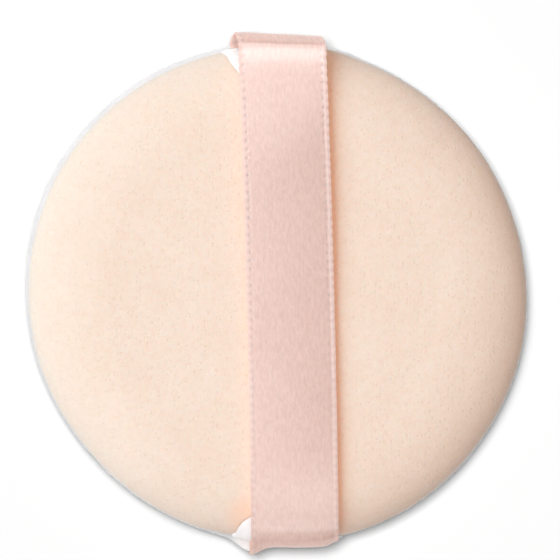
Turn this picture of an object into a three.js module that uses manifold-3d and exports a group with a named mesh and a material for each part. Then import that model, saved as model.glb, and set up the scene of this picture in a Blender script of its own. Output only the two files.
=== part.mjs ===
// A round powder puff: a sponge top and a velour underside sewn together round a foam disc,
// with a satin ribbon across the top face whose ends are caught in the rim seam.
// Millimetres, +Z up. The puff lies on its velour face with its centre on the Z axis.

import * as THREE from 'three';
import { mergeVertices } from 'three/addons/utils/BufferGeometryUtils.js';
import Module from 'manifold-3d';

// ---- driving dimensions -------------------------------------------------------------------
const PAD_R = 28.5; // outer radius of the pad, at the velour's rim
const TOP_R = 28.35; // outer radius of the sponge, just inside the velour
const PAD_T = 9.0; // height of the sponge's top at the centre
const CROWN = 0.25; // how far the top face falls from its centre to the shoulder
const TOP_FLAT_R = 18.5; // where the top face turns into the shoulder
const FOOT_FLAT_R = 21.5; // radius of the flat face that the pad rests on
const ROUNDNESS = 2.1; // exponent of the shoulder curves, 2 is an ellipse

const TOP_SKIN = 1.5; // sponge sheet
const BOTTOM_SKIN = 1.2; // velour with its pile
const SEAM_Z = 4.3; // height of the seam, where the ribbon comes out
const SEAM_GAP = 0.3; // between the two seam allowances
const TAIL_ROOM = 0.15; // the sponge and the velour give this much round the ribbon's tail
const ALLOWANCE_T = 0.7; // each seam allowance, pressed flat
const ALLOWANCE_R = 25.0; // inner edge of the seam allowances
const RIM_ROUND = 0.4; // small round where a cover turns into the seam

const CORE_R = 24.4;
const CORE_GAP = 0.3; // between the core and the covers

const STITCHES = 48;
const STITCH_R = 25.9; // radius of the seam line
const THREAD = 0.36; // thread thickness
const STITCH_HOLE = 0.7; // needle hole, across

const RIBBON_W = 10.0;
const RIBBON_T = 0.3;
const RIBBON_X = 1.36; // the ribbon lies a little to the right of the centre
const RIBBON_TURN = THREE.MathUtils.degToRad(1.36); // and leans a little to the left at the back
const RIBBON_TOP = 9.35; // middle of the ribbon's thickness, at the centre of the pad
const FOLD_S = 30.0; // furthest reach of the fold, from the ribbon's middle
const FOLD_UPPER_R = 3.3; // bend from the top face down past the rim
const FOLD_LOWER_R = 1.4; // bend back into the seam
const TAIL_S = 24.9; // end of the tail inside the seam
const SPAN_S = 22.0; // half length of the part that lifts
const SPLIT_GAP = 0.3; // between the lifting part and each end

const AROUND = 64; // facets round the pad

// ---- solids -------------------------------------------------------------------------------
const wasm = await Module();
wasm.setup();

function plain(geometry) {
  const g = geometry.index ? geometry.toNonIndexed() : geometry.clone();
  g.deleteAttribute('normal');
  g.deleteAttribute('uv');
  return mergeVertices(g, 1e-4);
}

function solid(geometry) {
  const g = plain(geometry);
  const index = g.index.array;
  const kept = [];
  for (let i = 0; i < index.length; i += 3) {
    const [a, b, c] = [index[i], index[i + 1], index[i + 2]];
    if (a !== b && b !== c && c !== a) kept.push(a, b, c);
  }
  return new wasm.Manifold(
    new wasm.Mesh({
      numProp: 3,
      vertProperties: new Float32Array(g.attributes.position.array),
      triVerts: new Uint32Array(kept),
    }),
  );
}

function geometryOf(manifold) {
  const m = manifold.getMesh();
  const g = new THREE.BufferGeometry();
  g.setAttribute('position', new THREE.BufferAttribute(new Float32Array(m.vertProperties), 3));
  g.setIndex(new THREE.BufferAttribute(new Uint32Array(m.triVerts), 1));
  g.computeVertexNormals();
  return g;
}

// A profile of [radius, height] points, anticlockwise, turned round the Z axis.
function turned(profile) {
  const g = new THREE.LatheGeometry(
    profile.map(([r, z]) => new THREE.Vector2(r, z)),
    AROUND,
  );
  g.rotateX(Math.PI / 2);
  return g;
}

// Quarter of a rounded shoulder about (r0, z0): from straight above or below it out to its side.
function shoulder(r0, z0, a, b, steps, from = 0, to = Math.PI / 2) {
  const points = [];
  for (let i = 0; i <= steps; i += 1) {
    const t = from + ((to - from) * i) / steps;
    points.push([
      r0 + a * Math.abs(Math.sin(t)) ** (2 / ROUNDNESS),
      z0 + b * Math.abs(Math.cos(t)) ** (2 / ROUNDNESS),
    ]);
  }
  return points;
}

// Angle at which a shoulder of height b has come within dz of its widest level.
const angleAt = (b, dz) => Math.acos((dz / b) ** (ROUNDNESS / 2));

const crowned = (top, r) => top - CROWN * (r / TOP_FLAT_R) ** 2;

// ---- the pad ------------------------------------------------------------------------------
const topFlangeLow = SEAM_Z + SEAM_GAP / 2;
const topFlangeHigh = topFlangeLow + ALLOWANCE_T;
const lowFlangeHigh = SEAM_Z - SEAM_GAP / 2;
const lowFlangeLow = lowFlangeHigh - ALLOWANCE_T;

function topCover() {
  const z0 = topFlangeLow + RIM_ROUND;
  const b = PAD_T - CROWN - z0;
  const bIn = b - TOP_SKIN;
  const inner = shoulder(
    TOP_FLAT_R, z0, TOP_R - TOP_FLAT_R - TOP_SKIN, bIn, 6,
    0, angleAt(bIn, topFlangeHigh - z0),
  );
  const outer = shoulder(TOP_FLAT_R, z0, TOP_R - TOP_FLAT_R, b, 9).reverse();
  return [
    [0, PAD_T - TOP_SKIN],
    [TOP_FLAT_R / 2, crowned(PAD_T - TOP_SKIN, TOP_FLAT_R / 2)],
    ...inner,
    [ALLOWANCE_R, topFlangeHigh],
    [ALLOWANCE_R, topFlangeLow],
    [TOP_R - RIM_ROUND, topFlangeLow],
    [TOP_R - RIM_ROUND * 0.3, topFlangeLow + RIM_ROUND * 0.3],
    ...outer,
    [TOP_FLAT_R / 2, crowned(PAD_T, TOP_FLAT_R / 2)],
    [0, PAD_T],
  ];
}

function bottomCover() {
  const z0 = lowFlangeHigh - RIM_ROUND;
  const outer = shoulder(FOOT_FLAT_R, z0, PAD_R - FOOT_FLAT_R, -z0, 8);
  const bIn = z0 - BOTTOM_SKIN;
  const inner = shoulder(
    FOOT_FLAT_R, z0, PAD_R - FOOT_FLAT_R - BOTTOM_SKIN, -bIn, 6,
    0, angleAt(bIn, z0 - lowFlangeLow),
  ).reverse();
  return [
    [0, 0],
    ...outer,
    [PAD_R - RIM_ROUND * 0.3, lowFlangeHigh - RIM_ROUND * 0.3],
    [PAD_R - RIM_ROUND, lowFlangeHigh],
    [ALLOWANCE_R, lowFlangeHigh],
    [ALLOWANCE_R, lowFlangeLow],
    ...inner,
    [0, BOTTOM_SKIN],
  ];
}

function foamCore() {
  const low = BOTTOM_SKIN + CORE_GAP;
  const high = PAD_T - TOP_SKIN - CORE_GAP;
  const lowFlat = FOOT_FLAT_R - 1.5;
  return [
    [0, low],
    ...shoulder(lowFlat, lowFlangeLow, CORE_R - lowFlat, low - lowFlangeLow, 4),
    ...shoulder(TOP_FLAT_R, topFlangeHigh, CORE_R - TOP_FLAT_R, high - CROWN - topFlangeHigh, 4).reverse(),
    [0, high],
  ];
}

// Short upright posts on the seam line, one at each stitch.
function onSeamLine(width, low, high) {
  let all = null;
  for (let i = 0; i < STITCHES; i += 1) {
    const t = (2 * Math.PI * (i + 0.5)) / STITCHES;
    const g = new THREE.BoxGeometry(width, width, high - low);
    g.rotateZ(t);
    g.translate(STITCH_R * Math.cos(t), STITCH_R * Math.sin(t), (low + high) / 2);
    const s = solid(g);
    all = all ? all.add(s) : s;
  }
  return all;
}

// One thread of the seam: a line that runs round on its side of the seam, with a leg down every hole.
function seamThread(low, high, legLow, legHigh) {
  const h = THREAD / 2;
  const ring = turned([
    [STITCH_R - h, low],
    [STITCH_R + h, low],
    [STITCH_R + h, high],
    [STITCH_R - h, high],
    [STITCH_R - h, low],
  ]);
  return geometryOf(solid(ring).add(onSeamLine(THREAD * 0.9, legLow, legHigh)));
}

// ---- the ribbon ---------------------------------------------------------------------------
// The middle of its thickness in the plane of its length: s along the ribbon, z up.
const foldCentreZ = SEAM_Z + FOLD_LOWER_R;
const foldTopZ = foldCentreZ + FOLD_UPPER_R;
const foldTopS = FOLD_S - FOLD_UPPER_R;
const spanZ = (s) => RIBBON_TOP - (RIBBON_TOP - foldTopZ) * (s / foldTopS) ** 2;

function endLine() {
  const points = [[TAIL_S, SEAM_Z], [FOLD_S - FOLD_LOWER_R, SEAM_Z]];
  for (let i = 1; i <= 6; i += 1) {
    const t = -Math.PI / 2 + (Math.PI / 2) * (i / 6);
    points.push([
      FOLD_S - FOLD_LOWER_R + FOLD_LOWER_R * Math.cos(t),
      foldCentreZ + FOLD_LOWER_R * Math.sin(t),
    ]);
  }
  for (let i = 1; i <= 8; i += 1) {
    const t = (Math.PI / 2) * (i / 8);
    points.push([
      foldTopS + FOLD_UPPER_R * Math.cos(t),
      foldCentreZ + FOLD_UPPER_R * Math.sin(t),
    ]);
  }
  for (let i = 1; i <= 2; i += 1) {
    const s = foldTopS + (SPAN_S + SPLIT_GAP - foldTopS) * (i / 2);
    points.push([s, spanZ(s)]);
  }
  return points;
}

function spanLine() {
  const points = [];
  for (let i = 0; i <= 12; i += 1) {
    const s = -SPAN_S + (2 * SPAN_S * i) / 12;
    points.push([s, spanZ(s)]);
  }
  return points;
}

// A strip of the given thickness and width along a line, laid across the pad.
function strip(line, mirror = 1, thick = RIBBON_T, width = RIBBON_W) {
  const path = line.map(([s, z]) => new THREE.Vector2(s * mirror, z));
  const left = [];
  const right = [];
  path.forEach((p, i) => {
    const before = path[Math.max(i - 1, 0)];
    const after = path[Math.min(i + 1, path.length - 1)];
    const d = after.clone().sub(before).normalize();
    const n = new THREE.Vector2(-d.y, d.x).multiplyScalar(thick / 2);
    left.push(p.clone().add(n));
    right.push(p.clone().sub(n));
  });
  const g = new THREE.ExtrudeGeometry(new THREE.Shape([...left, ...right.reverse()]), {
    depth: width,
    bevelEnabled: false,
    steps: 1,
  });
  g.applyMatrix4(
    new THREE.Matrix4().makeBasis(
      new THREE.Vector3(0, 1, 0),
      new THREE.Vector3(0, 0, 1),
      new THREE.Vector3(1, 0, 0),
    ),
  );
  g.translate(-width / 2, 0, 0);
  g.rotateZ(RIBBON_TURN);
  g.translate(RIBBON_X, 0, 0);
  return g;
}

// ---- the assembly -------------------------------------------------------------------------
const puff = new THREE.Group();

function piece(name, geometry, color, roughness) {
  const mesh = new THREE.Mesh(
    geometry,
    new THREE.MeshStandardMaterial({ color, roughness, metalness: 0 }),
  );
  mesh.name = name;
  puff.add(mesh);
}

const holes = onSeamLine(STITCH_HOLE, lowFlangeLow - 0.2, topFlangeHigh + 0.2);
const pierced = (geometry) => geometryOf(solid(geometry).subtract(holes));

// The seam opens a little where a tail of the ribbon lies in it.
const tailLine = [[TAIL_S - 0.3, SEAM_Z], [FOLD_S + 1, SEAM_Z]];
const tailRoom = [1, -1]
  .map((side) => solid(strip(tailLine, side, RIBBON_T + 2 * TAIL_ROOM, RIBBON_W + 0.6)))
  .reduce((a, b) => a.add(b));
const cover = (profile) => geometryOf(solid(turned(profile)).subtract(holes).subtract(tailRoom));

piece('top_cover', cover(topCover()), 0xf7e2d1, 0.85);
piece('bottom_cover', cover(bottomCover()), 0xfaf8f5, 0.95);
piece('foam_core', geometryOf(solid(turned(foamCore()))), 0xf3ead8, 0.95);

const gap = 0.06;
piece('needle_thread', seamThread(topFlangeHigh + gap, topFlangeHigh + gap + THREAD, SEAM_Z + 0.08, topFlangeHigh + gap + THREAD / 2), 0xf4f0ea, 0.7);
piece('bobbin_thread', seamThread(lowFlangeLow - gap - THREAD, lowFlangeLow - gap, lowFlangeLow - gap - THREAD / 2, SEAM_Z - 0.08), 0xf4f0ea, 0.7);

piece('ribbon_span', geometryOf(solid(strip(spanLine()))), 0xecccc1, 0.4);
piece('ribbon_end_back', pierced(strip(endLine())), 0xecccc1, 0.4);
piece('ribbon_end_front', pierced(strip(endLine(), -1)), 0xecccc1, 0.4);

export default puff;
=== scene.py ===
import math
import bpy
import numpy as np
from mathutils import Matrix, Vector


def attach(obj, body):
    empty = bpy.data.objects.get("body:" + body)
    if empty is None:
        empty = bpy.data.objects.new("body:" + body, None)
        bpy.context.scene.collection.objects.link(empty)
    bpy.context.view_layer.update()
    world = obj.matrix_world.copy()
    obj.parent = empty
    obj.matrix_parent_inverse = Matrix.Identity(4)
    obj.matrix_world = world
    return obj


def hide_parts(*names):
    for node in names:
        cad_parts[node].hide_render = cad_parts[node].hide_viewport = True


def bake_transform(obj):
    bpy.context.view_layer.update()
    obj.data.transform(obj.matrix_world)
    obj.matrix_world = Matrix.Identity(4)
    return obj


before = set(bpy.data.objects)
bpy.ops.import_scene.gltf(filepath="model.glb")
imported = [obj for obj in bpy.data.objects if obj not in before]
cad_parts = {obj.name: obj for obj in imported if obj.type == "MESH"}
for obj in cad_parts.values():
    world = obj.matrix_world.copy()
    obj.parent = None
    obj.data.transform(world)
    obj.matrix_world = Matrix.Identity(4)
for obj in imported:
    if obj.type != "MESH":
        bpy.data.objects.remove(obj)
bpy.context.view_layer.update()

MM = 0.001


# ---------------------------------------------------------------- helpers

def smooth(a, b, x):
    t = np.clip((x - a) / (b - a), 0.0, 1.0)
    return t * t * (3.0 - 2.0 * t)


def bump(x, width):
    return np.exp(-(x / width) ** 2)


class Waves:
    """Sum of seeded sine waves: a smooth random field in 3-D, about -1..1."""

    def __init__(self, seed, wavelength, count=24, spread=0.35):
        rng = np.random.default_rng(seed)
        d = rng.normal(size=(count, 3))
        d /= np.linalg.norm(d, axis=1)[:, None]
        k = 2.0 * math.pi / (wavelength * np.exp(rng.normal(scale=spread, size=count)))
        self.k = d * k[:, None]
        self.p = rng.uniform(0.0, 2.0 * math.pi, count)
        self.n = math.sqrt(2.0 / count)

    def __call__(self, p):
        out = np.zeros(p.shape[:-1])
        for k, ph in zip(self.k, self.p):
            out += np.sin(p @ k + ph)
        return out * self.n


def make_object(name, verts, faces, material, sharp=None, uv=None, uv_name="Cloth"):
    me = bpy.data.meshes.new(name)
    me.from_pydata((np.asarray(verts) * MM).tolist(), [], [tuple(int(i) for i in f) for f in faces])
    me.validate()
    me.update()
    me.polygons.foreach_set("use_smooth", [True] * len(me.polygons))
    if sharp is not None:
        me.set_sharp_from_angle(angle=math.radians(sharp))
    if uv is not None:
        layer = me.uv_layers.new(name=uv_name)
        loops = np.empty(len(me.loops), dtype=np.int64)
        me.loops.foreach_get("vertex_index", loops)
        layer.data.foreach_set("uv", np.asarray(uv, dtype=np.float32)[loops].ravel())
    me.update()
    ob = bpy.data.objects.new(name, me)
    bpy.context.scene.collection.objects.link(ob)
    me.materials.append(material)
    return ob


def disc_grid(n):
    """Square grid mapped to the unit disc: radius, angle, quads and the rim's indices in order."""
    a, b = np.meshgrid(np.linspace(-1, 1, n + 1), np.linspace(-1, 1, n + 1), indexing="ij")
    wide = np.abs(a) >= np.abs(b)
    sa = np.where(a == 0, 1.0, a)
    sb = np.where(b == 0, 1.0, b)
    rho = np.where(wide, a, b)
    phi = np.where(wide, math.pi / 4 * b / sa, math.pi / 2 - math.pi / 4 * a / sb)
    x, y = rho * np.cos(phi), rho * np.sin(phi)
    rad, ang = np.abs(rho).ravel(), np.arctan2(y, x).ravel()
    i, j = np.meshgrid(np.arange(n), np.arange(n), indexing="ij")
    v0 = (i * (n + 1) + j).ravel()
    quads = np.stack([v0, v0 + n + 1, v0 + n + 2, v0 + 1], axis=1)
    idx = np.arange((n + 1) * (n + 1)).reshape(n + 1, n + 1)
    rim = np.concatenate([idx[n, :-1], idx[::-1, n][:-1], idx[0, ::-1][:-1], idx[:, 0][:-1]])
    return rad, ang, quads, rim


def ring_quads(inner, outer):
    m = len(inner)
    k = np.arange(m)
    n = (k + 1) % m
    return np.stack([inner[k], outer[k], outer[n], inner[n]], axis=1)


# ---------------------------------------------------------------- shape of the pad (mm)

TOP_Z = 9.0
FLAT_R = 18.5
SEAM_Z = 4.45
LIP = 0.08          # white edge that shows outside the sponge's edge
SKIN = 0.05         # how far the foam lies below the sponge's face where the sponge is cut back
THICK_SPONGE = 2.4


def outline(th):
    """Radius of the velour's rim: a hand-sewn round is a little oval."""
    t = th - math.radians(145.0)
    a, b = 28.92, 28.42
    r = a * b / np.sqrt((b * np.cos(t)) ** 2 + (a * np.sin(t)) ** 2)
    r = r - 0.22 * np.cos(th) + 0.03 * np.sin(th)
    away = (np.degrees(th) - 300.0 + 180.0) % 360.0 - 180.0
    r = r + 0.17 * bump(away, 24.0)
    away = (np.degrees(th) - 222.0 + 180.0) % 360.0 - 180.0
    r = r - 0.17 * bump(away, 24.0) + 0.12 * bump(away - 33.0, 9.0)
    away = (np.degrees(th) - 58.0 + 180.0) % 360.0 - 180.0
    r = r + 0.15 * bump(away, 24.0) + 0.24 * bump(away - 21.0, 6.0)
    away = (np.degrees(th) - 340.0 + 180.0) % 360.0 - 180.0
    r = r + 0.30 * shown(th) + 0.14 * bump(away, 14.0)
    return r + 0.035 * np.sin(5 * th + 0.6) + 0.02 * np.sin(9 * th + 2.0) + pulled(th)


def shown(th):
    """The velour's edge shows most at the upper left."""
    return np.maximum(np.cos(th - math.radians(135.0)), 0.0) ** 1.5


def pulled(th):
    """The ribbon draws the velour's edge out a little at its ends."""
    deg = np.degrees(th) % 360.0
    d = deg - 263.6
    return 1.35 * bump(d, np.where(d < 0, 3.9, 2.6)) + 0.25 * bump(deg - 99.5, 3.0)


def seam_r(th):
    deg = np.degrees(th)
    low = 0.10 * bump((deg - 322.0 + 180.0) % 360.0 - 180.0, 34.0) + 0.12 * bump((deg - 234.0 + 180.0) % 360.0 - 180.0, 27.0)
    low = low + 0.22 * bump((deg - 258.0 + 180.0) % 360.0 - 180.0, 7.0)
    return outline(th) - LIP - 0.56 * shown(th) - low - 0.03 * np.sin(7 * th + 0.4) - pulled(th)


def nominal(rho, th):
    """Upper surface of the pad; rho 0 at the centre, 1 where the edge is turned in at the seam."""
    rs = seam_r(th)
    z_eq = SEAM_Z + 0.45
    p1, p2 = 0.60, 0.975
    f1 = np.clip(rho / p1, 0, 1)
    r = FLAT_R * f1
    z = TOP_Z - 0.25 * f1 ** 2
    t = np.clip((rho - p1) / (p2 - p1), 0, 1) * (math.pi / 2)
    n = 2.15
    on = rho > p1
    r = np.where(on, FLAT_R + (rs - FLAT_R) * np.sin(t) ** (2 / n), r)
    z = np.where(on, z_eq + (TOP_Z - 0.25 - z_eq) * np.cos(t) ** (2 / n), z)
    u = np.clip((rho - p2) / (1 - p2), 0, 1) * (math.pi / 2)
    on = rho > p2
    r = np.where(on, rs - 0.42 * (1 - np.cos(u)), r)
    z = np.where(on, z_eq - 0.42 * np.sin(u), z)
    return r, z


def inside(rho, th, depth, profile=nominal, up=1.0):
    """A surface that lies depth below the profile, measured square to it."""
    r, z = profile(rho, th)
    ra, za = profile(np.clip(rho - 4e-3, 0, 1), th)
    rb, zb = profile(np.clip(rho + 4e-3, 0, 1), th)
    dr, dz = rb - ra, zb - za
    ln = np.maximum(np.hypot(dr, dz), 1e-9)
    return r + up * depth * dz / ln, z - up * depth * dr / ln


# the sponge's edge left and right of the ribbon's ends, seen from above: x and y in mm
CUT_BACK = (np.array([22.5, 24.0, 25.1, 25.9, 26.7, 27.4, 28.0, 30.0]), np.array([0.0, -3.1, -4.45, -5.10, -5.70, -6.05, -6.25, -6.3]),
            np.array([22.5, 25.0, 27.0, 28.2, 30.0]), np.array([0.0, 3.2, 4.3, 4.5, 4.5]))
CUT_FRONT = (np.array([23.4, 24.6, 25.2, 25.55, 26.0, 26.3, 26.95, 27.5, 30.0]), np.array([0.5, -1.7, -2.8, -3.35, -4.0, -4.35, -4.8, -4.95, -5.0]),
             np.array([23.4, 25.5, 27.0, 27.5, 28.0, 30.0]), np.array([0.5, 5.0, 6.3, 6.7, 7.4, 7.8]))


def cut_edge(x, y):
    """Distance in from the edge where the sponge is cut back beside the ribbon's ends; below 0 outside it."""
    out = np.full_like(x, -99.0)
    for sign, (yl, xl, yr, xr) in ((1, CUT_BACK), (-1, CUT_FRONT)):
        t = sign * y
        d = np.minimum(x - np.interp(t, yl, xl), np.interp(t, yr, xr) - x)
        out = np.maximum(out, np.minimum(d, (t - yl[0]) * 1.4))
    return out


def cut_mask(x, y, soft=0.16, grow=0.0):
    """1 where the sponge is cut back and the foam shows."""
    return smooth(-soft, soft, cut_edge(x, y) + grow)


def drawn_to_edge(rho, th, reach):
    """Grid points near the cut edge are moved onto it, so that the edge runs clean."""
    rho, th = rho.copy(), th.copy()

    def off(a, b):
        r, _ = nominal(a, b)
        return cut_edge(r * np.cos(b), r * np.sin(b))

    e = 2e-4
    for _ in range(3):
        d = off(rho, th)
        ga = (off(rho + e, th) - off(rho - e, th)) / (2 * e * 29.0)
        gb = (off(rho, th + e) - off(rho, th - e)) / (2 * e * 27.0)
        g2 = np.maximum(ga ** 2 + gb ** 2, 0.05)
        near = (np.abs(d) / np.sqrt(g2) < reach) & (rho > 0.6) & (rho < 0.955)
        rho = np.where(near, rho - d * ga / g2 / 29.0, rho)
        th = np.where(near, th - d * gb / g2 / 27.0, th)
    return rho, th


def uneven(p, rho):
    """Slight unevenness of a hand-made pad, and the shallow trough that the ribbon presses along its line."""
    dz = smooth(0.0, 0.12, 1.0 - rho) * (0.022 * Waves(3, 19.0)(p) + 0.004 * Waves(4, 5.0)(p))
    off = np.abs(p[:, 0] - 1.335 + 0.0260 * p[:, 1])
    return dz - 0.08 * smooth(6.6, 4.2, off) * smooth(27.0, 21.0, np.abs(p[:, 1]))


def polar(r, th, z):
    return np.stack([r * np.cos(th), r * np.sin(th), z], axis=-1)


# ---------------------------------------------------------------- node materials

class Nodes:
    def __init__(self, name):
        self.mat = bpy.data.materials.new(name)
        self.mat.use_nodes = True
        self.tree = self.mat.node_tree
        self.tree.nodes.clear()
        self.out = self.tree.nodes.new("ShaderNodeOutputMaterial")
        self.bsdf = self.tree.nodes.new("ShaderNodeBsdfPrincipled")
        self.tree.links.new(self.bsdf.outputs[0], self.out.inputs["Surface"])

    def new(self, kind, **props):
        node = self.tree.nodes.new(kind)
        for k, v in props.items():
            setattr(node, k, v)
        return node

    def put(self, socket, value):
        if isinstance(value, bpy.types.NodeSocket):
            self.tree.links.new(value, socket)
        else:
            socket.default_value = value

    def coord(self, kind="Object"):
        return self.new("ShaderNodeTexCoord").outputs[kind]

    def uv(self, name):
        return self.new("ShaderNodeUVMap", uv_map=name).outputs[0]

    def scaled(self, vec, scale):
        n = self.new("ShaderNodeMapping")
        self.put(n.inputs["Vector"], vec)
        n.inputs["Scale"].default_value = scale
        return n.outputs[0]

    def noise(self, vec, scale, detail=2.0, rough=0.5, distort=0.0):
        n = self.new("ShaderNodeTexNoise")
        self.put(n.inputs["Vector"], vec)
        n.inputs["Scale"].default_value = scale
        n.inputs["Detail"].default_value = detail
        n.inputs["Roughness"].default_value = rough
        n.inputs["Distortion"].default_value = distort
        return n.outputs[0]

    def cells(self, vec, scale, random=1.0):
        n = self.new("ShaderNodeTexVoronoi")
        self.put(n.inputs["Vector"], vec)
        n.inputs["Scale"].default_value = scale
        n.inputs["Randomness"].default_value = random
        return n.outputs["Distance"], n.outputs["Color"]

    def remap(self, value, a, b, c=0.0, d=1.0, kind="LINEAR"):
        n = self.new("ShaderNodeMapRange", interpolation_type=kind)
        self.put(n.inputs["Value"], value)
        for s, v in zip(("From Min", "From Max", "To Min", "To Max"), (a, b, c, d)):
            n.inputs[s].default_value = v
        return n.outputs[0]

    def math(self, op, a, b=0.0, clamp=False):
        n = self.new("ShaderNodeMath", operation=op, use_clamp=clamp)
        self.put(n.inputs[0], a)
        self.put(n.inputs[1], b)
        return n.outputs[0]

    def mix(self, fac, a, b, blend="MIX"):
        n = self.new("ShaderNodeMix", data_type="RGBA", blend_type=blend)
        self.put(n.inputs[0], fac)
        self.put(n.inputs[6], a)
        self.put(n.inputs[7], b)
        return n.outputs[2]

    def split(self, vec):
        n = self.new("ShaderNodeSeparateXYZ")
        self.put(n.inputs[0], vec)
        return n.outputs

    def relief(self, height, distance, strength=1.0, normal=None):
        n = self.new("ShaderNodeBump")
        n.inputs["Strength"].default_value = strength
        n.inputs["Distance"].default_value = distance
        self.put(n.inputs["Height"], height)
        if normal is not None:
            self.put(n.inputs["Normal"], normal)
        return n.outputs[0]

    def set(self, **values):
        for k, v in values.items():
            self.put(self.bsdf.inputs[k.replace("_", " ")], v)


def sponge_material():
    m = Nodes("sponge_skin")
    p = m.coord()
    base = (0.800, 0.690, 0.600, 1)
    deep = (0.772, 0.645, 0.545, 1)
    pale = (0.815, 0.718, 0.634, 1)
    mott = m.noise(p, 170.0, 3.0, 0.55)
    col = m.mix(m.remap(mott, 0.36, 0.66), base, pale)
    mott2 = m.noise(p, 700.0, 3.0, 0.6)
    col = m.mix(m.remap(mott2, 0.45, 0.75, 0.0, 0.35), col, deep)
    # fine open cells of the sponge
    d, c = m.cells(p, 2300.0)
    r = m.split(c)
    fine = m.math("MULTIPLY", m.remap(d, 0.16, 0.34, 1.0, 0.0), m.remap(r[0], 0.45, 0.6))
    col = m.mix(m.math("MULTIPLY", fine, 0.22), col, (0.66, 0.50, 0.39, 1))
    grain = m.noise(p, 1500.0, 3.0, 0.65)
    col = m.mix(m.remap(grain, 0.46, 0.70, 0.0, 0.62), col, deep)
    col = m.mix(m.remap(grain, 0.30, 0.48, 0.45, 0.0), col, pale)
    # sparse larger pores and specks
    d2, c2 = m.cells(p, 560.0)
    r2 = m.split(c2)
    pore = m.math("MULTIPLY", m.remap(d2, 0.06, 0.16, 1.0, 0.0), m.remap(r2[0], 0.76, 0.82))
    col = m.mix(m.math("MULTIPLY", pore, 0.09), col, (0.58, 0.41, 0.31, 1))
    pale_spot = m.math("MULTIPLY", m.remap(d2, 0.08, 0.2, 1.0, 0.0), m.remap(r2[1], 0.80, 0.86))
    col = m.mix(m.math("MULTIPLY", pale_spot, 0.35), col, (0.86, 0.78, 0.71, 1))
    flat = m.new("ShaderNodeVectorMath", operation="MULTIPLY")
    m.put(flat.inputs[0], p)
    flat.inputs[1].default_value = (1, 1, 0)
    # painted shade: the sponge's colour darkens over its last few millimetres to the rim, as an edge turning away from
    # the light would
    away = m.new("ShaderNodeVectorMath", operation="LENGTH")
    m.put(away.inputs[0], flat.outputs[0])
    col = m.mix(m.remap(away.outputs["Value"], 0.0245, 0.0286, 0.0, 0.28), col, (0.715, 0.585, 0.490, 1))
    # painted glow: the thin edge by the ribbon's front end is tinted warmer, as light shining through it would make it
    near = m.new("ShaderNodeVectorMath", operation="DISTANCE")
    m.put(near.inputs[0], flat.outputs[0])
    near.inputs[1].default_value = (-0.0040, -0.0254, 0.0)
    col = m.mix(m.remap(near.outputs["Value"], 0.0007, 0.0030, 0.85, 0.0, "SMOOTHSTEP"), col, (0.845, 0.625, 0.500, 1))
    h = m.math("SUBTRACT", m.noise(p, 3000.0, 2.0, 0.6), m.math("MULTIPLY", fine, 0.7))
    h = m.math("SUBTRACT", h, m.math("MULTIPLY", pore, 0.55))
    m.set(Base_Color=col, Roughness=0.82, Normal=m.relief(h, 0.00006, 0.55))
    b = m.bsdf.inputs
    b["Specular IOR Level"].default_value = 0.22
    b["Subsurface Weight"].default_value = 0.15
    b["Subsurface Radius"].default_value = (1.0, 0.40, 0.22)
    b["Subsurface Scale"].default_value = 0.0003
    b["Sheen Weight"].default_value = 0.24
    b["Sheen Roughness"].default_value = 0.4
    return m.mat


def velour_material():
    m = Nodes("velour_pile")
    p = m.coord()
    lay = m.noise(p, 260.0, 3.0, 0.6, 0.6)
    col = m.mix(m.remap(lay, 0.38, 0.62), (0.700, 0.695, 0.700, 1), (0.790, 0.785, 0.785, 1))
    nap = m.noise(m.scaled(p, (1.0, 0.35, 1.0)), 900.0, 3.0, 0.65, 0.8)
    col = m.mix(m.remap(nap, 0.40, 0.66, 0.0, 0.40), col, (0.640, 0.630, 0.635, 1))
    # painted shade: the rolled lip between the widest point and the seam is painted a darker grey, as it would look in
    # shade
    lip_shade = m.remap(m.split(p)[2], 0.0032, 0.0040, 0.0, 0.60)
    col = m.mix(lip_shade, col, (0.600, 0.585, 0.590, 1))
    # painted light: a patch of the velour's edge at the front, left of the ribbon, is painted lighter, as if lit
    near = m.new("ShaderNodeVectorMath", operation="DISTANCE")
    m.put(near.inputs[0], p)
    near.inputs[1].default_value = (-0.0036, -0.0285, 0.0042)
    col = m.mix(m.remap(near.outputs["Value"], 0.0010, 0.0024, 0.85, 0.0, "SMOOTHSTEP"), col, (0.93, 0.90, 0.89, 1))
    tuft = m.noise(p, 3600.0, 2.0, 0.7)
    col = m.mix(m.remap(tuft, 0.42, 0.62, 0.30, 0.0), col, (0.66, 0.645, 0.65, 1))
    m.set(Base_Color=col, Roughness=0.9, Normal=m.relief(tuft, 0.00010, 0.6))
    b = m.bsdf.inputs
    b["Specular IOR Level"].default_value = 0.15
    b["Sheen Weight"].default_value = 0.35
    b["Sheen Roughness"].default_value = 0.4
    b["Subsurface Weight"].default_value = 0.25
    b["Subsurface Radius"].default_value = (1.0, 0.9, 0.85)
    b["Subsurface Scale"].default_value = 0.0010
    return m.mat


def foam_material():
    m = Nodes("foam_cells")
    p = m.coord()
    d, c = m.cells(p, 1300.0)
    wall = m.remap(d, 0.12, 0.55)
    col = m.mix(wall, (0.90, 0.89, 0.89, 1), (0.84, 0.82, 0.82, 1))
    col = m.mix(m.remap(m.noise(p, 120.0, 2.0), 0.4, 0.7, 0.0, 0.4), col, (0.88, 0.86, 0.85, 1))
    m.set(Base_Color=col, Roughness=0.92, Normal=m.relief(wall, 0.00006, 0.5))
    m.bsdf.inputs["Specular IOR Level"].default_value = 0.15
    return m.mat


def thread_material():
    m = Nodes("sewing_thread")
    p = m.coord()
    fib = m.noise(m.scaled(p, (1, 1, 3)), 6000.0, 2.0, 0.6)
    col = m.mix(m.remap(fib, 0.35, 0.65), (0.84, 0.80, 0.75, 1), (0.94, 0.91, 0.87, 1))
    m.set(Base_Color=col, Roughness=0.5, Normal=m.relief(fib, 0.00003, 0.5))
    m.bsdf.inputs["Sheen Weight"].default_value = 0.2
    return m.mat


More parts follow.
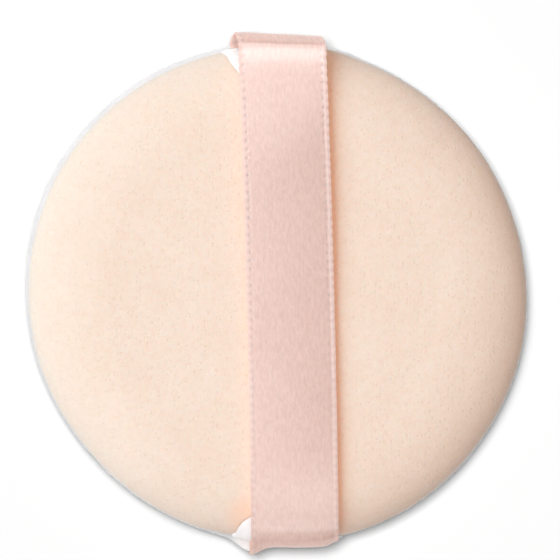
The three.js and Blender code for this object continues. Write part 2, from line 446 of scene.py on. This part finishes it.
def ribbon_material(reverse=False):
    m = Nodes("ribbon_reverse" if reverse else "satin_ribbon")
    uv = m.uv("Cloth")                      # u: mm across, v: mm along
    u, v, _ = m.split(uv)
    warp = m.noise(m.scaled(uv, (9.0, 0.22, 1.0)), 1.0, 2.0, 0.6)
    fine = m.noise(m.scaled(uv, (16.0, 0.9, 1.0)), 1.0, 1.0, 0.5)
    weft = m.noise(m.scaled(uv, (0.7, 7.0, 1.0)), 1.0, 1.0, 0.5)
    base = (0.655, 0.395, 0.327, 1)
    pale = (0.698, 0.438, 0.371, 1)
    deep = (0.592, 0.340, 0.273, 1)
    col = m.mix(m.remap(warp, 0.34, 0.68), base, pale)
    col = m.mix(m.remap(fine, 0.50, 0.78, 0.0, 0.35), col, deep)
    col = m.mix(m.remap(weft, 0.52, 0.80, 0.0, 0.22), col, deep)
    floats = m.noise(m.scaled(uv, (10.0, 4.2, 1.0)), 1.0, 2.0, 0.6, 0.4)
    col = m.mix(m.remap(floats, 0.40, 0.66, 0.35, 0.0), col, deep)
    # soft slubs in the weave
    slub = m.noise(m.scaled(uv, (3.0, 1.05, 1.0)), 1.0, 3.0, 0.7, 0.4)
    col = m.mix(m.remap(slub, 0.46, 0.68, 0.0, 0.80), col, (0.565, 0.318, 0.254, 1))
    col = m.mix(m.remap(slub, 0.32, 0.49, 0.62, 0.0), col, (0.712, 0.455, 0.388, 1))
    # selvedge: paler bound edge
    edge = m.math("ABSOLUTE", u)
    h = m.math("ADD", m.math("MULTIPLY", warp, 0.5), m.math("MULTIPLY", fine, 0.4))
    h = m.math("ADD", h, m.math("MULTIPLY", weft, 0.35))
    h = m.math("ADD", h, m.math("MULTIPLY", floats, 0.9))
    # the needle holes of the selvedge
    k = m.math("COSINE", m.math("ADD", m.math("MULTIPLY", v, 2 * math.pi / PITCH), m.remap(u, -1.0, 1.0, 0.0, 0.8)))
    bead = m.math("MULTIPLY", m.remap(edge, 4.42, 4.58), m.remap(k, -0.9, 0.8, 0.72, 0.22))
    col = m.mix(bead, col, (0.735, 0.510, 0.448, 1))
    hole = m.math("MULTIPLY", m.remap(k, 0.20, 0.90), m.remap(m.math("ABSOLUTE", m.math("SUBTRACT", edge, 4.44)), 0.06, 0.22, 1.0, 0.0))
    hole = m.math("MULTIPLY", hole, m.remap(m.noise(m.scaled(uv, (0.3, 0.9, 1.0)), 1.0, 1.0), 0.36, 0.60, 0.12, 0.62))
    # the holes are drawn nearly shut in the front half
    hole = m.math("MULTIPLY", hole, m.remap(v, -16.0, 6.0, 0.28, 1.0))
    col = m.mix(hole, col, (0.42, 0.285, 0.285, 1))
    # painted highlight: all but the back end is made a shade darker, so the back end, where the highlight falls, stays
    # lighter
    col = m.mix(m.remap(v, 20.0, 26.0, 1.0, 0.0), col, (0.972, 0.982, 0.976, 1), "MULTIPLY")
    # painted shade: the front fold is tinted warmer, the colour of the fold's shade
    col = m.mix(m.remap(v, -29.6, -27.2, 1.0, 0.0), col, (1.07, 0.967, 0.89, 1), "MULTIPLY")
    m.set(Base_Color=col, Roughness=m.remap(edge, 4.5, 4.8, 0.36, 0.55), Normal=m.relief(h, 0.00003, 0.45))
    b = m.bsdf.inputs
    m.put(b["Tangent"], m.new("ShaderNodeTangent", direction_type="UV_MAP", uv_map="Cloth").outputs[0])
    b["Anisotropic"].default_value = 0.85
    b["IOR"].default_value = 2.1
    b["Specular IOR Level"].default_value = 1.0
    b["Sheen Weight"].default_value = 0.15
    b["Sheen Roughness"].default_value = 0.35
    b["Subsurface Weight"].default_value = 0.3
    b["Subsurface Radius"].default_value = (1.0, 0.40, 0.30)
    b["Subsurface Scale"].default_value = 0.0003
    if reverse:
        m.set(Base_Color=m.mix(0.45, col, (0.80, 0.655, 0.60, 1)))
        m.set(Roughness=m.remap(edge, 4.2, 4.6, 0.66, 0.78))
        b["IOR"].default_value = 1.5
        b["Specular IOR Level"].default_value = 0.35
    return m.mat


PITCH = 0.97         # mm between the selvedge's stitches
MAT_SPONGE = sponge_material()
MAT_VELOUR = velour_material()
MAT_FOAM = foam_material()
MAT_THREAD = thread_material()
MAT_RIBBON = ribbon_material()
MAT_REVERSE = ribbon_material(reverse=True)


# ---------------------------------------------------------------- sponge face

def build_sponge():
    n = 284
    rho, th, quads, rim = disc_grid(n)
    rho, th = drawn_to_edge(rho, th, 0.10)
    r, z = nominal(rho, th)
    p = polar(r, th, z)
    ru, zu = inside(rho, th, 1.0)
    inward = polar(ru - r, th, zu - z)
    p[:, 2] += uneven(p, rho) + 0.0022 * smooth(0.0, 0.12, 1.0 - rho) * Waves(5, 1.3)(p)
    # cut back at the ribbon's ends: the edge thins out and dips under the foam
    cut = np.clip(cut_edge(p[:, 0], p[:, 1]), 0.0, 1.2)
    ease = cut_mask(p[:, 0], p[:, 1], 1.1)
    p = p + inward * (0.55 * cut + 0.03 * ease * smooth(0.3, 0.0, cut))[:, None]
    verts, faces = [p], [quads]
    base = len(p)
    tr = th[rim]
    rs = seam_r(tr)
    one = np.ones_like(tr)
    rings = []
    for dr, zz in ((1.2, 0.02), (3.1, 0.03), (3.25, 0.35), (3.1, 0.66)):
        rings.append(polar(rs - dr, tr, one * (SEAM_Z + zz)))
    for q in (0.82, 0.76, 0.66, 0.45, 0.2):
        ri, zi = inside(one * q, tr, THICK_SPONGE)
        rings.append(polar(ri, tr, zi))
    prev = rim
    for ring in rings:
        cur = base + np.arange(len(tr))
        verts.append(ring)
        faces.append(ring_quads(prev, cur))
        prev = cur
        base += len(tr)
    hub = base
    verts.append(np.array([[0.0, 0.0, TOP_Z - THICK_SPONGE]]))
    fl = [tuple(f) for arr in faces for f in arr]
    m = len(tr)
    fl += [(int(prev[k]), hub, int(prev[(k + 1) % m])) for k in range(m)]
    return make_object("sponge_face", np.concatenate(verts), fl, MAT_SPONGE, sharp=50)


# ---------------------------------------------------------------- velour underside

def velour_profile(rho, th):
    """Lower surface; rho 0 at the centre of the foot, 1 at the seam."""
    ro = outline(th) - pulled(th)
    rs = seam_r(th) - 0.25
    f = 21.5
    z_eq = 3.05
    p1, p2 = 0.66, 0.90
    r = f * np.clip(rho / p1, 0, 1)
    z = np.zeros_like(rho)
    t = np.clip((rho - p1) / (p2 - p1), 0, 1) * (math.pi / 2)
    n = 2.1
    on = rho > p1
    r = np.where(on, f + (ro - f) * np.sin(t) ** (2 / n), r)
    z = np.where(on, z_eq - z_eq * np.cos(t) ** (2 / n), z)
    # the lip rolls over and runs in to the seam
    u = np.clip((rho - p2) / (1 - p2), 0, 1) * (math.pi / 2)
    on = rho > p2
    r = np.where(on, ro - (ro - rs) * (1 - np.cos(u)) ** 0.9, r)
    z = np.where(on, z_eq + (SEAM_Z - 0.05 - z_eq) * np.sin(u) ** 0.95, z)
    # the ribbon's pull is felt next to the seam only
    r = r + pulled(th) * smooth(1.6, 3.9, z) * smooth(1.0, 0.962, rho)
    return r, z


def build_velour():
    n = 250
    rho, th, quads, rim = disc_grid(n)
    r, z = velour_profile(rho, th)
    p = polar(r, th, z)
    ru, zu = inside(rho, th, -1.0, velour_profile, -1.0)
    nrm = polar(ru - r, th, zu - z)
    nrm[rho < 1e-6] = (0, 0, -1)
    # short pile: clumps that lie over each other
    pile = 0.030 * Waves(11, 0.75, 40)(p) + 0.022 * Waves(12, 2.2)(p) + 0.018 * Waves(13, 7.0)(p)
    amount = (0.8 + 0.2 * smooth(20.0, 25.0, r)) * (1 - 0.75 * smooth(0.88, 0.93, rho))
    lift = pile * amount - 0.07 * smooth(24.0, 20.5, r)
    lift = np.where(z < 1.0, np.minimum(lift, z * 0.9), lift)
    p = p + nrm * (lift * smooth(0.0, 0.02, 1.0 - rho))[:, None]
    p[:, 2] = np.maximum(p[:, 2], 0.0)
    verts, faces = [p], [quads[:, ::-1]]
    base = len(p)
    tr = th[rim]
    rs = seam_r(tr)
    prev = rim
    rings = [polar(rs - dr, tr, np.full_like(tr, zz)) for dr, zz in
             ((1.2, SEAM_Z - 0.06), (3.1, SEAM_Z - 0.07), (3.25, SEAM_Z - 0.4), (3.1, SEAM_Z - 0.72))]
    for q in (0.82, 0.76, 0.68, 0.5, 0.2):
        ri, zi = inside(np.full_like(tr, q), tr, 1.15, velour_profile, -1.0)
        rings.append(polar(ri, tr, zi))
    for ring in rings:
        cur = base + np.arange(len(tr))
        verts.append(ring)
        faces.append(ring_quads(prev, cur)[:, ::-1])
        prev = cur
        base += len(tr)
    hub = base
    verts.append(np.array([[0.0, 0.0, 1.15]]))
    fl = [tuple(f) for arr in faces for f in arr]
    m = len(tr)
    fl += [(int(prev[(k + 1) % m]), hub, int(prev[k])) for k in range(m)]
    return make_object("velour_face", np.concatenate(verts), fl, MAT_VELOUR, sharp=60)


# ---------------------------------------------------------------- foam core

def build_foam():
    """The filling: a disc, with a tongue at each end of the ribbon where the sponge is cut back and the foam shows."""
    n = 214
    rho, th, quads, rim = disc_grid(n)
    tr = th[rim]
    deg = np.degrees(th) % 360.0
    fan = smooth(70.0, 75.0, deg) * smooth(110.0, 105.0, deg) + smooth(253.0, 258.0, deg) * smooth(291.0, 286.0, deg)
    q = rho * (0.795 + 0.19 * fan)
    r, z = nominal(q, th)
    face = polar(r, th, z)
    show = cut_mask(face[:, 0], face[:, 1], 0.30, 0.62)
    tuck = SKIN + 0.07 * (1 - cut_mask(face[:, 0], face[:, 1], 0.14, 0.06))
    depth = THICK_SPONGE + 0.08 + (tuck - THICK_SPONGE - 0.08) * show
    r, z = inside(q, th, depth)
    up = polar(r + 0.30 * fan * smooth(0.88, 1.0, rho), th, z)
    up[:, 2] += uneven(face, q) + 0.004 * Waves(21, 0.8, 40)(up) + 0.006 * Waves(22, 2.5)(up)
    k = len(up)
    fr = fan[rim]
    rt, zt = inside(0.795 + 0.19 * fr, tr, THICK_SPONGE + 0.08 + (1.20 - THICK_SPONGE) * fr)
    side = [polar(rt, tr, zt), polar(np.minimum(rt, 24.3), tr, np.minimum(zt, 5.9)), polar(np.full_like(tr, 24.2), tr, np.full_like(tr, 3.7))]
    lo_r, lo_z = inside(rho * 0.70, th, 1.45, velour_profile, -1.0)
    lo = polar(lo_r, th, lo_z + 0.03 * Waves(23, 0.9, 40)(polar(lo_r, th, lo_z)))
    verts, faces, prev, base = [up], [quads], rim, k
    for ring in side:
        cur = base + np.arange(len(tr))
        verts.append(ring)
        faces.append(ring_quads(prev, cur))
        prev = cur
        base += len(tr)
    verts.append(lo)
    faces.append(ring_quads(prev, rim + base))
    faces.append(quads[:, ::-1] + base)
    return make_object("foam_disc", np.concatenate(verts), np.concatenate(faces), MAT_FOAM, sharp=50)


# ---------------------------------------------------------------- stitching

def sweep(path, radius, sides):
    """Closed tube along a closed path."""
    m = len(path)
    nxt, prv = np.roll(path, -1, axis=0), np.roll(path, 1, axis=0)
    tan = nxt - prv
    tan /= np.linalg.norm(tan, axis=1)[:, None]
    ref = np.stack([path[:, 0], path[:, 1], np.zeros(m)], axis=1)
    ref /= np.linalg.norm(ref, axis=1)[:, None]
    b = np.cross(tan, ref)
    b /= np.linalg.norm(b, axis=1)[:, None]
    c = np.cross(b, tan)
    a = np.arange(sides) / sides * 2 * math.pi
    v = path[:, None, :] + radius * (np.cos(a)[None, :, None] * c[:, None, :] + np.sin(a)[None, :, None] * b[:, None, :])
    i, j = np.meshgrid(np.arange(m), np.arange(sides), indexing="ij")
    i2, j2 = (i + 1) % m, (j + 1) % sides
    f = np.stack([i * sides + j, i2 * sides + j, i2 * sides + j2, i * sides + j2], axis=-1).reshape(-1, 4)
    return v.reshape(-1, 3), f


def build_thread(name, z_run, z_dip):
    """One thread of the lockstitch: a run of stitches that dips into each hole, two plies twisted."""
    count = 48
    m = count * 30
    th = np.arange(m) / m * 2 * math.pi
    ph = (th * count / (2 * math.pi)) % 1.0
    dip = bump(np.minimum(ph, 1 - ph), 0.085)
    r = seam_r(th) - 2.15
    z = z_run + (z_dip - z_run) * dip
    verts, faces, base = [], [], 0
    for ply in (0.0, math.pi):
        tw = th * count * 3 + ply
        path = polar(r + 0.085 * np.cos(tw), th, z + 0.085 * np.sin(tw))
        v, f = sweep(path, 0.095, 8)
        verts.append(v)
        faces.append(f + base)
        base += len(v)
    return make_object(name, np.concatenate(verts), np.concatenate(faces), MAT_THREAD)


# ---------------------------------------------------------------- ribbon

HALF_W = 5.0
THICK = 0.26


def ribbon_line(side):
    """Centre line of one half, from the middle of the puff out, over the rim and into the seam."""
    # how far the ribbon leans down along its run, in degrees, before it folds over
    if side > 0:
        reach, low_r = 29.52, 1.30
        lean_s = (0.0, 14.0, 19.0, 22.5, 24.6, 26.3, 27.2, 27.8, 28.25, 28.68)
        lean_d = (0.0, 0.5, 1.5, 3.3, 5.8, 9.6, 13.0, 18.0, 31.0, 48.0)
    else:
        reach, low_r = 28.80, 1.10
        lean_s = (0.0, 14.0, 18.0, 21.0, 23.5, 25.2, 26.4, 27.2, 27.9)
        lean_d = (0.0, 0.6, 1.8, 4.5, 8.0, 13.0, 19.0, 27.0, 38.0)
    run = np.linspace(0.0, lean_s[-1], 900)
    lean = np.radians(np.interp(run, lean_s, lean_d))
    drop = np.concatenate([[0.0], np.cumsum(0.5 * (np.tan(lean[1:]) + np.tan(lean[:-1])) * np.diff(run))])
    slack = 0.10 * smooth(25.0, 15.0, run) + 0.40 * bump(side * run - 14.5, 13.0)
    pts = list(zip(run, 9.68 + slack - drop))
    turn = lean[-1]
    tight_r = (reach - run[-1]) / (1 - math.sin(turn))
    sc_, zc_ = pts[-1][0] - tight_r * math.sin(turn), pts[-1][1] - tight_r * math.cos(turn)
    for a in np.linspace(turn, math.pi / 2, 60)[1:]:
        pts.append((sc_ + tight_r * math.sin(a), zc_ + tight_r * math.cos(a)))
    zc = pts[-1][1]
    for a in np.linspace(0, math.pi / 2, 60)[1:]:
        pts.append((reach - low_r + low_r * math.cos(a), zc - low_r * math.sin(a)))
    z_low = zc - low_r
    s_low = reach - low_r
    for s in np.linspace(s_low, 24.9, 40)[1:]:
        k = smooth(0.0, 1.0, (s_low - s) / 2.6)
        pts.append((s, z_low + (SEAM_Z - 0.02 - z_low) * k))
    pts = np.array(pts)
    d = np.concatenate([[0.0], np.cumsum(np.linalg.norm(np.diff(pts, axis=0), axis=1))])
    rows = int(round(d[-1] / 0.115))
    t = np.linspace(0, d[-1], rows + 1)
    s, z = np.interp(t, d, pts[:, 0]), np.interp(t, d, pts[:, 1])
    ts, tz = np.gradient(s, t), np.gradient(z, t)
    soft = np.ones(9) / 9
    ts = np.convolve(np.pad(ts, 4, mode="edge"), soft, "valid")
    tz = np.convolve(np.pad(tz, 4, mode="edge"), soft, "valid")
    ln = np.hypot(ts, tz)
    # distance along the line to the outermost point of the fold
    fold = t[np.argmax(s)]
    return t, s, z, ts / ln, tz / ln, fold


def build_ribbon(side, name):
    t, s, z, ts, tz, fold = ribbon_line(side)
    mid = np.linspace(-4.1, 4.1, 43)
    edge = np.linspace(4.1, HALF_W, 15)[1:]
    w = np.concatenate([-edge[::-1], mid, edge])
    T, W = np.meshgrid(t, w, indexing="ij")
    S, Z = s[:, None] + 0 * W, z[:, None] + 0 * W
    NS, NZ = -tz[:, None] + 0 * W, ts[:, None] + 0 * W
    y = side * S
    # the ribbon bows a little sideways along its length
    yc = np.clip(y, -27.0, 27.0)
    xc = 1.335 - 0.0260 * yc - 0.00024 * yc ** 2
    q = T - fold
    if side > 0:
        lean = -0.57 * smooth(-3.2, 0.0, q) + 0.55 * smooth(1.4, 3.4, q)
    else:
        lean = -0.25 * smooth(0.3, 4.0, q)
    X = xc + lean + W
    # the fold's corners: a flared corner on the left, a rounded one on the right
    left, right = smooth(0.5, -5.0, W), smooth(0.5, 5.0, W)
    if side > 0:
        out = 0.36 * left * bump(q, 2.6) - 0.10 * right * bump(q, 2.0)
        X -= 0.60 * smooth(-2.2, -5.0, W) * bump(q - 1.9, 1.0)
    else:
        out = 1.00 * bump(W + 4.9, 1.35) * bump(q - 0.4, 1.7) - 0.6 * smooth(2.6, 5.0, W) ** 2 * bump(q, 2.2)
        X -= 0.22 * smooth(-2.5, -5.0, W) * bump(q - 0.4, 1.6)
        Z -= 0.4 * bump(W + 4.4, 1.6) * bump(q - 0.4, 1.8)
    S = S + out
    # slack: shallow waves across and along, and a slight camber
    n = np.stack([X, side * S, Z], axis=-1)
    slack = 0.022 * Waves(31, 17.0)(n) + 0.003 * Waves(32, 5.0)(n)
    calm = smooth(6.5, 2.5, q)
    camber = 0.15 * (1 - (W / HALF_W) ** 2) * calm
    # selvedge: bound edge with a row of small stitch pits inside it
    aw = np.abs(W)
    beat = 0.5 + 0.5 * np.cos(2 * math.pi * T / PITCH + np.where(W > 0, 0.8, 0.0))
    bead = 0.016 * bump(aw - 4.74, 0.20) * (0.75 + 0.25 * beat)
    firm = 0.35 + 0.65 * smooth(-16.0, 6.0, side * T)
    pit = -0.026 * firm * bump(aw - 4.43, 0.16) * beat ** 3
    taper = smooth(5.02, 4.82, aw)
    X = X + np.sign(W) * 0.08 * firm * (0.5 - beat) * smooth(4.55, 5.0, aw)
    top = slack * calm + camber + bead + pit + THICK / 2 * (0.88 + 0.12 * taper)
    low = slack * calm + camber - bead - pit * 0.8 - THICK / 2 * (0.60 + 0.40 * taper)

    def place(h):
        return np.stack([X, side * (S + NS * h), Z + NZ * h], axis=-1).reshape(-1, 3)

    verts = np.concatenate([place(top), place(low)])
    R, C = T.shape
    k = R * C
    i, j = np.meshgrid(np.arange(R - 1), np.arange(C - 1), indexing="ij")
    v0 = (i * C + j).ravel()
    up = np.stack([v0, v0 + 1, v0 + C + 1, v0 + C], axis=1)
    dn = up[:, ::-1] + k
    idx = np.arange(k).reshape(R, C)
    loop = np.concatenate([idx[0, :-1], idx[:-1, -1], idx[-1, ::-1][:-1], idx[::-1, 0][:-1]])
    m = len(loop)
    a = np.arange(m)
    b = (a + 1) % m
    rim = np.stack([loop[b], loop[a], loop[a] + k, loop[b] + k], axis=1)
    faces = np.concatenate([up, dn, rim])
    if side < 0:
        faces = faces[:, ::-1]
    along = side * T
    uv = np.stack([W, along], axis=-1).reshape(-1, 2)
    ob = make_object(name, verts, faces, MAT_RIBBON, sharp=55, uv=np.concatenate([uv, uv]))
    ob.data.materials.append(MAT_REVERSE)
    which = np.zeros(len(faces), dtype=np.int32)
    which[len(up):len(up) + len(dn)] = 1
    ob.data.polygons.foreach_set("material_index", which)
    return ob, float(t[-1])


sponge = build_sponge()
velour = build_velour()
foam = build_foam()
needle = build_thread("needle_stitches", SEAM_Z + 0.86, SEAM_Z + 0.30)
bobbin = build_thread("bobbin_stitches", SEAM_Z - 0.92, SEAM_Z - 0.34)
ribbon_back, len_back = build_ribbon(1, "ribbon_back")
ribbon_front, len_front = build_ribbon(-1, "ribbon_front")

for ob in (sponge, velour, foam, needle, bobbin):
    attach(ob, "pad")
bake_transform(ribbon_back)
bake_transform(ribbon_front)

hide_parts("top_cover")
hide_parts("bottom_cover")
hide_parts("foam_core")
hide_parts("needle_thread")
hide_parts("bobbin_thread")
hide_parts("ribbon_end_back", "ribbon_span")
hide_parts("ribbon_end_front", "ribbon_span")


# ---------------------------------------------------------------- stage, light and camera

def plain(name, color, rough, glow):
    m = Nodes(name)
    n = m.noise(m.coord(), 40.0, 2.0)
    c = tuple(0.985 * v for v in color) + (1,)
    m.set(Base_Color=m.mix(n, c, tuple(color) + (1,)), Roughness=rough)
    m.bsdf.inputs["Specular IOR Level"].default_value = 0.1
    m.bsdf.inputs["Emission Color"].default_value = (1, 1, 1, 1)
    m.bsdf.inputs["Emission Strength"].default_value = glow
    return m.mat


floor_me = bpy.data.meshes.new("table")
floor_me.from_pydata([(-2, -2, 0), (2, -2, 0), (2, 2, 0), (-2, 2, 0)], [], [(0, 1, 2, 3)])
floor = bpy.data.objects.new("table", floor_me)
floor_me.materials.append(plain("table_white", (0.45, 0.45, 0.45), 0.8, 0.0))
bpy.context.scene.collection.objects.link(floor)


def softbox(name, loc, size, watts, lit, target=(0, 0, 0.005), color=(1, 1, 1)):
    l = bpy.data.lights.new(name, "AREA")
    l.shape = "RECTANGLE"
    l.size, l.size_y = size
    l.energy = watts
    l.color = color
    ob = bpy.data.objects.new(name, l)
    ob.location = loc
    ob.rotation_euler = (Vector(target) - Vector(loc)).to_track_quat("-Z", "Y").to_euler()
    bpy.context.scene.collection.objects.link(ob)
    ob.light_linking.receiver_collection = lit
    return ob


# the sponge, the cloth parts and the table each have their own lamps
on_sponge, on_cloth, on_ribbon, on_table = (bpy.data.collections.new(n) for n in ("lit_sponge", "lit_cloth", "lit_ribbon", "lit_table"))
on_sponge.objects.link(sponge)
for ob in (velour, foam, needle, bobbin, ribbon_back, ribbon_front):
    on_cloth.objects.link(ob)
for ob in (foam, ribbon_back, ribbon_front):
    on_ribbon.objects.link(ob)
on_table.objects.link(floor)
softbox("sponge_key", (-0.865, 0.404, 1.023), (0.70, 1.45), 19.9, on_sponge, color=(0.730, 0.971, 1.071))
over = softbox("sponge_over", (-0.15, -0.08, 1.19), (0.5, 0.5), 8.97, on_sponge, color=(0.870, 0.515, 0.357))
over.light_linking.blocker_collection = on_sponge
softbox("sponge_low", (-0.15, -1.00, 0.45), (1.0, 0.6), 2.5, on_sponge, color=(0.75, 0.92, 1.0))
softbox("sponge_back", (0.15, 0.95, 0.75), (0.6, 0.4), 1.9, on_sponge, color=(0.95, 0.60, 0.42))
softbox("cloth_key", (-0.98, 0.05, 0.95), (0.58, 0.58), 8.4, on_cloth)
softbox("cloth_top", (-0.16, 0.80, 0.90), (1.15, 0.65), 7.2, on_cloth)
softbox("cloth_tail", (-0.10, 0.42, 1.15), (1.10, 0.55), 2.9, on_cloth)
softbox("cloth_back", (-0.20, 1.05, 0.40), (1.20, 0.40), 3.1, on_cloth)
softbox("cloth_near", (-0.05, -0.66, 1.05), (0.9, 0.85), 4.2, on_cloth)
softbox("cloth_mid", (-0.08, -0.22, 1.20), (0.6, 0.5), 1.0, on_cloth)
softbox("cloth_low", (-0.15, -1.18, 0.50), (0.64, 0.9), 2.3, on_cloth)
softbox("ribbon_low", (-0.75, -0.92, 0.50), (0.64, 0.9), 2.2, on_ribbon)
softbox("table_wash", (-0.052, 0.096, 1.034), (0.29, 0.29), 20.8, on_table, target=(0, 0, 0))
softbox("table_over", (0.0, 0.0, 1.05), (1.1, 1.1), 3.5, on_table, target=(0, 0, 0))

world = bpy.data.worlds.new("surround")
world.use_nodes = True
bg = world.node_tree.nodes["Background"]
bg.inputs[0].default_value = (1.0, 1.0, 1.0, 1)
bg.inputs[1].default_value = 0.07
bpy.context.scene.world = world

cam_data = bpy.data.cameras.new("camera")
cam_data.sensor_width = 36.0
CAM_Z = 0.75
cam_data.lens = 18.0 / (0.06437 / 2 / (CAM_Z - 0.0045))
cam_data.clip_start, cam_data.clip_end = 0.01, 10.0
cam = bpy.data.objects.new("camera", cam_data)
cam.location = (0.00015, 0.00161, CAM_Z)
cam.rotation_euler = (0, 0, 0)
bpy.context.scene.collection.objects.link(cam)
bpy.context.scene.camera = cam

sc = bpy.context.scene
sc.view_settings.view_transform = "Standard"
sc.view_settings.look = "None"
sc.view_settings.exposure = 0.0
sc.view_settings.gamma = 1.0
